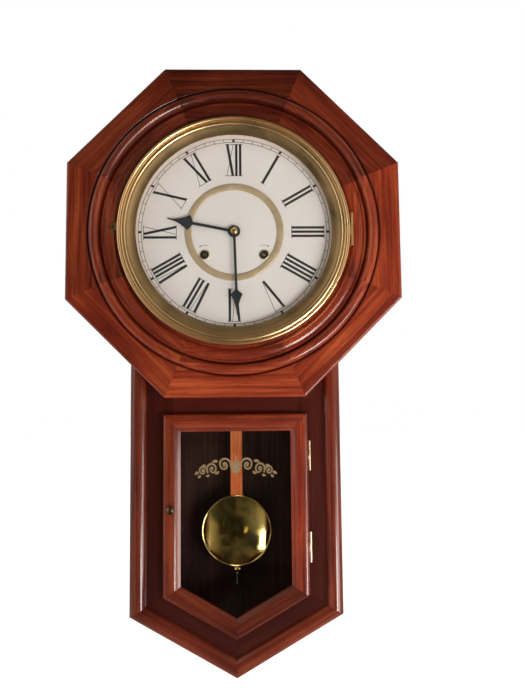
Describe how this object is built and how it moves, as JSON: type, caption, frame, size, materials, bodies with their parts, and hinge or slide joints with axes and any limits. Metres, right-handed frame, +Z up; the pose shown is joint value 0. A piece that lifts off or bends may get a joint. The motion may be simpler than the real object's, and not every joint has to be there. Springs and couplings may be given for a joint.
{
  "type": "pendulum wall clock",
  "caption": "Octagonal wooden wall clock with a glazed round dial, a glazed lower door, a pendulum, spade hands and a wound spring movement.",
  "frame": {"origin": "centre of the hanger hole, on the plane of the case's back that rests on the wall", "axes": "+X to the right as seen from the front, +Y into the wall, +Z up"},
  "size_m": [0.43, 0.124, 0.7804],
  "materials": {
    "mahogany_frame": "satin-gloss lacquered mahogany",
    "mahogany_door": "satin-gloss lacquered mahogany",
    "mahogany_case": "satin lacquered mahogany",
    "backboard_wood": "dark stained softwood",
    "pendulum_wood": "varnished orange-brown wood",
    "bezel_brass": "polished spun brass, lightly aged",
    "aged_brass": "aged brass",
    "polished_brass": "polished brass",
    "gilt_ring": "gilt",
    "grommet_brass": "pale brass",
    "movement_brass": "brushed brass",
    "steel": "brushed steel",
    "spring_steel": "blued spring steel",
    "gong_steel": "dark steel wire on an iron block",
    "dial_enamel": "off-white painted dial with black printing",
    "blackened_steel": "blackened steel",
    "door_glass": "clear flat glass with a gilt scroll",
    "dial_glass": "clear flat glass"
  },
  "bodies": {
    "case": {"backboard": "backboard_wood", "hanger_plate": "steel", "wood_screws": "steel", "side_board_left": "mahogany_case", "side_board_right": "mahogany_case", "case_top_board": "mahogany_case", "bottom_board_left": "mahogany_case", "bottom_board_right": "mahogany_case", "octagon_segments": "mahogany_frame", "frame_left_stile": "mahogany_frame", "frame_right_stile": "mahogany_frame", "frame_top_rail": "mahogany_frame", "frame_bottom_left_rail": "mahogany_frame", "frame_bottom_right_rail": "mahogany_frame", "dial_plate": "dial_enamel", "dial_centre_ring": "gilt_ring", "winding_hole_grommets": "grommet_brass", "movement_front_plate": "movement_brass", "movement_back_plate": "movement_brass", "movement_pillars": "movement_brass", "suspension_cock": "movement_brass", "time_mainspring": "spring_steel", "strike_mainspring": "spring_steel", "gong": "gong_steel", "door_hinge_case_leaves": "aged_brass", "bezel_hinge_case_leaf": "bezel_brass", "bezel_catch": "bezel_brass"},
    "door": {"door_left_stile": "mahogany_door", "door_right_stile": "mahogany_door", "door_top_rail": "mahogany_door", "door_bottom_left_rail": "mahogany_door", "door_bottom_right_rail": "mahogany_door", "door_glass_beads": "mahogany_door", "door_glass": "door_glass", "door_hinge_leaves": "aged_brass"},
    "door_latch": {"door_knob": "aged_brass"},
    "bezel": {"bezel_ring": "bezel_brass", "dial_glass": "dial_glass", "glass_retaining_ring": "bezel_brass", "bezel_hinge_leaf": "bezel_brass"},
    "minute_train": {"minute_hand": "blackened_steel", "hand_nut": "polished_brass", "centre_arbor": "steel", "centre_wheel": "movement_brass"},
    "hour_train": {"hour_hand": "blackened_steel", "hour_wheel": "movement_brass"},
    "minute_wheel": {"minute_wheel": "movement_brass"},
    "third_wheel": {"third_wheel": "movement_brass"},
    "escape_wheel": {"escape_wheel": "movement_brass"},
    "time_great_wheel": {"time_great_wheel": "movement_brass"},
    "strike_great_wheel": {"strike_great_wheel": "movement_brass"},
    "time_winding_arbor": {"time_winding_arbor": "steel"},
    "strike_winding_arbor": {"strike_winding_arbor": "steel"},
    "anchor": {"anchor_and_crutch": "steel"},
    "pendulum": {"suspension_spring": "steel", "pendulum_rod": "pendulum_wood", "pendulum_bob": "polished_brass", "rating_screw": "steel"},
    "rating_nut": {"rating_nut": "polished_brass"},
    "hammer": {"strike_hammer": "steel"}
  },
  "joints": [
    {"name": "door_swing", "type": "hinge", "parent": "case", "child": "door", "pos_m": [0.0944, -0.0952, -0.495], "axis": [0, 0, 1], "range_deg": [0, 105]},
    {"name": "latch_turn", "type": "hinge", "parent": "door", "child": "door_latch", "pos_m": [-0.082, -0.095, -0.5], "axis": [0, 1, 0], "range_deg": [0, 90]},
    {"name": "bezel_swing", "type": "hinge", "parent": "case", "child": "bezel", "pos_m": [0.1524, -0.1196, -0.145], "axis": [0, 0, 1], "range_deg": [0, 105]},
    {"name": "minute_hand_turn", "type": "hinge", "parent": "case", "child": "minute_train", "pos_m": [0, -0.1, -0.145], "axis": [0, 1, 0], "continuous": true},
    {"name": "hour_hand_turn", "type": "hinge", "parent": "case", "child": "hour_train", "pos_m": [0, -0.1, -0.145], "axis": [0, 1, 0], "continuous": true},
    {"name": "minute_wheel_turn", "type": "hinge", "parent": "case", "child": "minute_wheel", "pos_m": [-0.01697, -0.092, -0.12803], "axis": [0, 1, 0], "continuous": true},
    {"name": "time_great_wheel_turn", "type": "hinge", "parent": "case", "child": "time_great_wheel", "pos_m": [0.0385, -0.049, -0.175], "axis": [0, 1, 0], "continuous": true},
    {"name": "third_wheel_turn", "type": "hinge", "parent": "case", "child": "third_wheel", "pos_m": [0.02359, -0.075, -0.12193], "axis": [0, 1, 0], "continuous": true},
    {"name": "escape_wheel_turn", "type": "hinge", "parent": "case", "child": "escape_wheel", "pos_m": [0, -0.069, -0.111], "axis": [0, 1, 0], "continuous": true},
    {"name": "strike_great_wheel_turn", "type": "hinge", "parent": "case", "child": "strike_great_wheel", "pos_m": [-0.0385, -0.0525, -0.175], "axis": [0, 1, 0], "continuous": true},
    {"name": "time_winding_turn", "type": "hinge", "parent": "case", "child": "time_winding_arbor", "pos_m": [0.0385, -0.08, -0.175], "axis": [0, 1, 0], "continuous": true},
    {"name": "strike_winding_turn", "type": "hinge", "parent": "case", "child": "strike_winding_arbor", "pos_m": [-0.0385, -0.08, -0.175], "axis": [0, 1, 0], "continuous": true},
    {"name": "pendulum_swing", "type": "hinge", "parent": "case", "child": "pendulum", "pos_m": [0, -0.035, -0.083], "axis": [0, 1, 0], "range_deg": [-4, 4]},
    {"name": "anchor_swing", "type": "hinge", "parent": "case", "child": "anchor", "pos_m": [0, -0.069, -0.083], "axis": [0, 1, 0], "range_deg": [-4, 4]},
    {"name": "rating_nut_turn", "type": "hinge", "parent": "pendulum", "child": "rating_nut", "pos_m": [0, -0.035, -0.591], "axis": [0, 0, 1], "continuous": true},
    {"name": "hammer_swing", "type": "hinge", "parent": "case", "child": "hammer", "pos_m": [-0.045, -0.02, -0.195], "axis": [0, 1, 0], "range_deg": [0, 20], "stiffness_Nm_per_rad": 0.02, "springref_deg": -17.19}
  ],
  "couplings": [
    {"joint": "hour_hand_turn", "follows": "minute_hand_turn", "ratio": 0.083333},
    {"joint": "minute_wheel_turn", "follows": "minute_hand_turn", "ratio": -0.33333},
    {"joint": "time_great_wheel_turn", "follows": "minute_hand_turn", "ratio": -0.1},
    {"joint": "third_wheel_turn", "follows": "minute_hand_turn", "ratio": -10},
    {"joint": "escape_wheel_turn", "follows": "minute_hand_turn", "ratio": 90},
    {"joint": "anchor_swing", "follows": "pendulum_swing", "ratio": 1}
  ]
}
